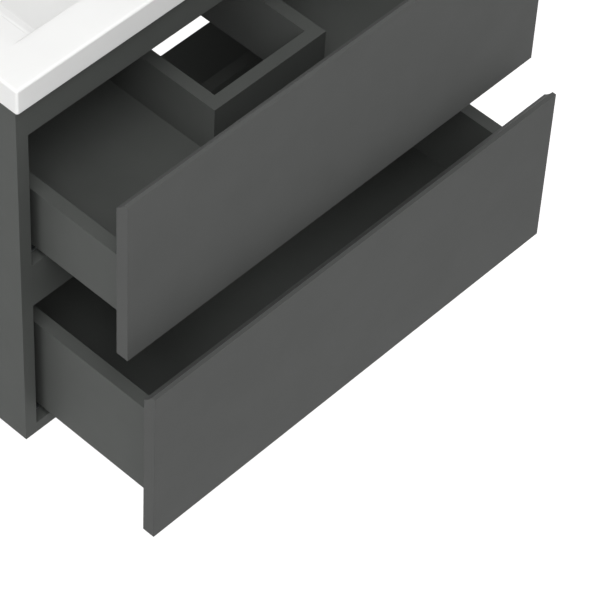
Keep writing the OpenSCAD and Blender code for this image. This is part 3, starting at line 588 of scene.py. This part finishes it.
def mesh_from(name, points, faces, material):
    """A smooth-shaded mesh object from whole arrays of points and quads, with coinciding points
    merged."""
    used, faces = np.unique(faces, return_inverse=True)
    shell_mesh = bpy.data.meshes.new(name)
    shell_mesh.from_pydata(points[used].tolist(), [], faces.reshape(-1, 4).tolist())
    shape = bmesh.new()
    shape.from_mesh(shell_mesh)
    bmesh.ops.remove_doubles(shape, verts=shape.verts, dist=MERGE_MM * MM)
    bmesh.ops.dissolve_degenerate(shape, edges=shape.edges, dist=SHORT_MM * MM)
    shape.to_mesh(shell_mesh)
    shape.free()
    shell_mesh.polygons.foreach_set("use_smooth", np.ones(len(shell_mesh.polygons), dtype=bool))
    shell_mesh.set_sharp_from_angle(angle=math.radians(SHARP_DEGREES))
    shell_mesh.materials.append(material)
    item = bpy.data.objects.new(name, shell_mesh)
    bpy.context.scene.collection.objects.link(item)
    return item


basin = mesh_from("cast_basin", *basin_shell(), CERAMIC)
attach(basin, "cabinet")
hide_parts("basin")


# ---- camera, fitted to the photograph's edges

IMAGE_PX = 600.0
FOCAL_PX = 3398.7
SENSOR_MM = 36.0
VIEW_REACH = 50.0
EYE = (-1.7661, -2.09063, 2.34516)
# unit vectors of the picture's right and up and of the view ahead
RIGHT = (0.690147, -0.722581, 0.039681)
UP = (0.528961, 0.54112, 0.65375)
AHEAD = (0.49386, 0.430194, -0.755669)

camera_data = bpy.data.cameras.new("camera")
camera_data.sensor_fit = "HORIZONTAL"
camera_data.sensor_width = SENSOR_MM
camera_data.lens = FOCAL_PX / IMAGE_PX * SENSOR_MM
camera_data.clip_end = VIEW_REACH
camera = bpy.data.objects.new("camera", camera_data)
bpy.context.scene.collection.objects.link(camera)
facing = Matrix((Vector(RIGHT), Vector(UP), -Vector(AHEAD))).transposed().to_4x4()
camera.matrix_world = Matrix.Translation(Vector(EYE)) @ facing
bpy.context.scene.camera = camera


# ---- studio

# the lamps face this point, inside the cabinet near its top
AIM = (0.0, -0.35, 0.0)
# place and side in metres, power in watts
LAMPS = {
    "overhead": ((-0.8, -1.2, 2.6), 1.6, 35.0),
    "eye": ((-1.6, -1.85, 2.2), 1.2, 26.0),
    "left": ((-2.8, -0.8, 1.0), 1.6, 29.0),
    "front": ((-0.2, -3.1, 1.1), 1.8, 21.0),
    "right": ((3.0, -0.6, 1.0), 1.8, 16.0),
    "back_right": ((2.6, 1.3, 1.5), 1.0, 5.0),
    "back_left": ((-1.3, 1.4, 2.5), 1.0, 5.0),
}
WORLD_LIGHT = 0.2

FLOOR_Z = -1.6
FLOOR_HALF = 40.0
# how far the floor is lifted to white where it is seen: under the lamps, and far out where none
# reaches, with the distances at which the lift starts and stops growing
LIFT_NEAR, LIFT_FAR = 0.62, 0.83
REACH_NEAR, REACH_FAR = 2.8, 9.0


def lamp(name, place, side, power):
    """A soft square lamp that faces AIM."""
    data = bpy.data.lights.new(name, "AREA")
    data.shape = "SQUARE"
    data.size = side
    data.energy = power
    item = bpy.data.objects.new(name, data)
    item.location = place
    item.rotation_euler = (Vector(AIM) - Vector(place)).to_track_quat("-Z", "Y").to_euler()
    bpy.context.scene.collection.objects.link(item)


for lamp_name, settings in LAMPS.items():
    lamp(lamp_name, *settings)


def seen_rays(tree):
    """1 for a ray from the camera and for one that gloss or glass sends on, 0 for a ray that
    carries light."""
    rays = add(tree, "ShaderNodeLightPath").outputs
    through = combine(tree, "MAXIMUM", rays["Is Camera Ray"], rays["Is Transmission Ray"])
    return combine(tree, "MAXIMUM", through, rays["Is Glossy Ray"])


def painted_floor():
    """Matt white studio floor. Where it is seen it is lifted to white, more so far out, and a
    shadow still shows."""
    material, tree, shader = new_material("matt_studio_floor", Emission_Color=WHITE)
    place = mottle(tree, shader, "#EEEEEE", "#F2F2F2", spacing_mm=900)
    grain(tree, shader, place, spacing_mm=40, height_mm=0.05, rough=(0.8, 0.9))
    distance = add(tree, "ShaderNodeVectorMath", {"operation": "LENGTH"},
                   Vector=add(tree, "ShaderNodeTexCoord").outputs["Object"])
    level = add(tree, "ShaderNodeMapRange", {"From Min": REACH_NEAR, "From Max": REACH_FAR,
                                             "To Min": LIFT_NEAR, "To Max": LIFT_FAR},
                Value=distance.outputs["Value"])
    lift = combine(tree, "MULTIPLY", seen_rays(tree), level.outputs[0])
    tree.links.new(lift, shader.inputs["Emission Strength"])
    return material


floor_mesh = bpy.data.meshes.new("studio_floor")
floor_mesh.from_pydata([(x * FLOOR_HALF, y * FLOOR_HALF, FLOOR_Z)
                        for x, y in ((-1, -1), (1, -1), (1, 1), (-1, 1))], [], [(0, 1, 2, 3)])
floor_mesh.materials.append(painted_floor())
studio_floor = bpy.data.objects.new("studio_floor", floor_mesh)
bpy.context.scene.collection.objects.link(studio_floor)

# a white background where it is seen, and a weak even light from it elsewhere
world = bpy.data.worlds.new("studio")
world.use_nodes = True
bpy.context.scene.world = world
sky = world.node_tree
sky.nodes.clear()
sky_out = sky.nodes.new("ShaderNodeOutputWorld")
light_sky = add(sky, "ShaderNodeBackground", {"Color": WHITE, "Strength": WORLD_LIGHT})
white_sky = add(sky, "ShaderNodeBackground", {"Color": WHITE, "Strength": 1.0})
mixed = add(sky, "ShaderNodeMixShader", Fac=seen_rays(sky))
sky.links.new(light_sky.outputs[0], mixed.inputs[1])
sky.links.new(white_sky.outputs[0], mixed.inputs[2])
sky.links.new(mixed.outputs[0], sky_out.inputs[0])

bpy.context.scene.view_settings.view_transform = "Standard"
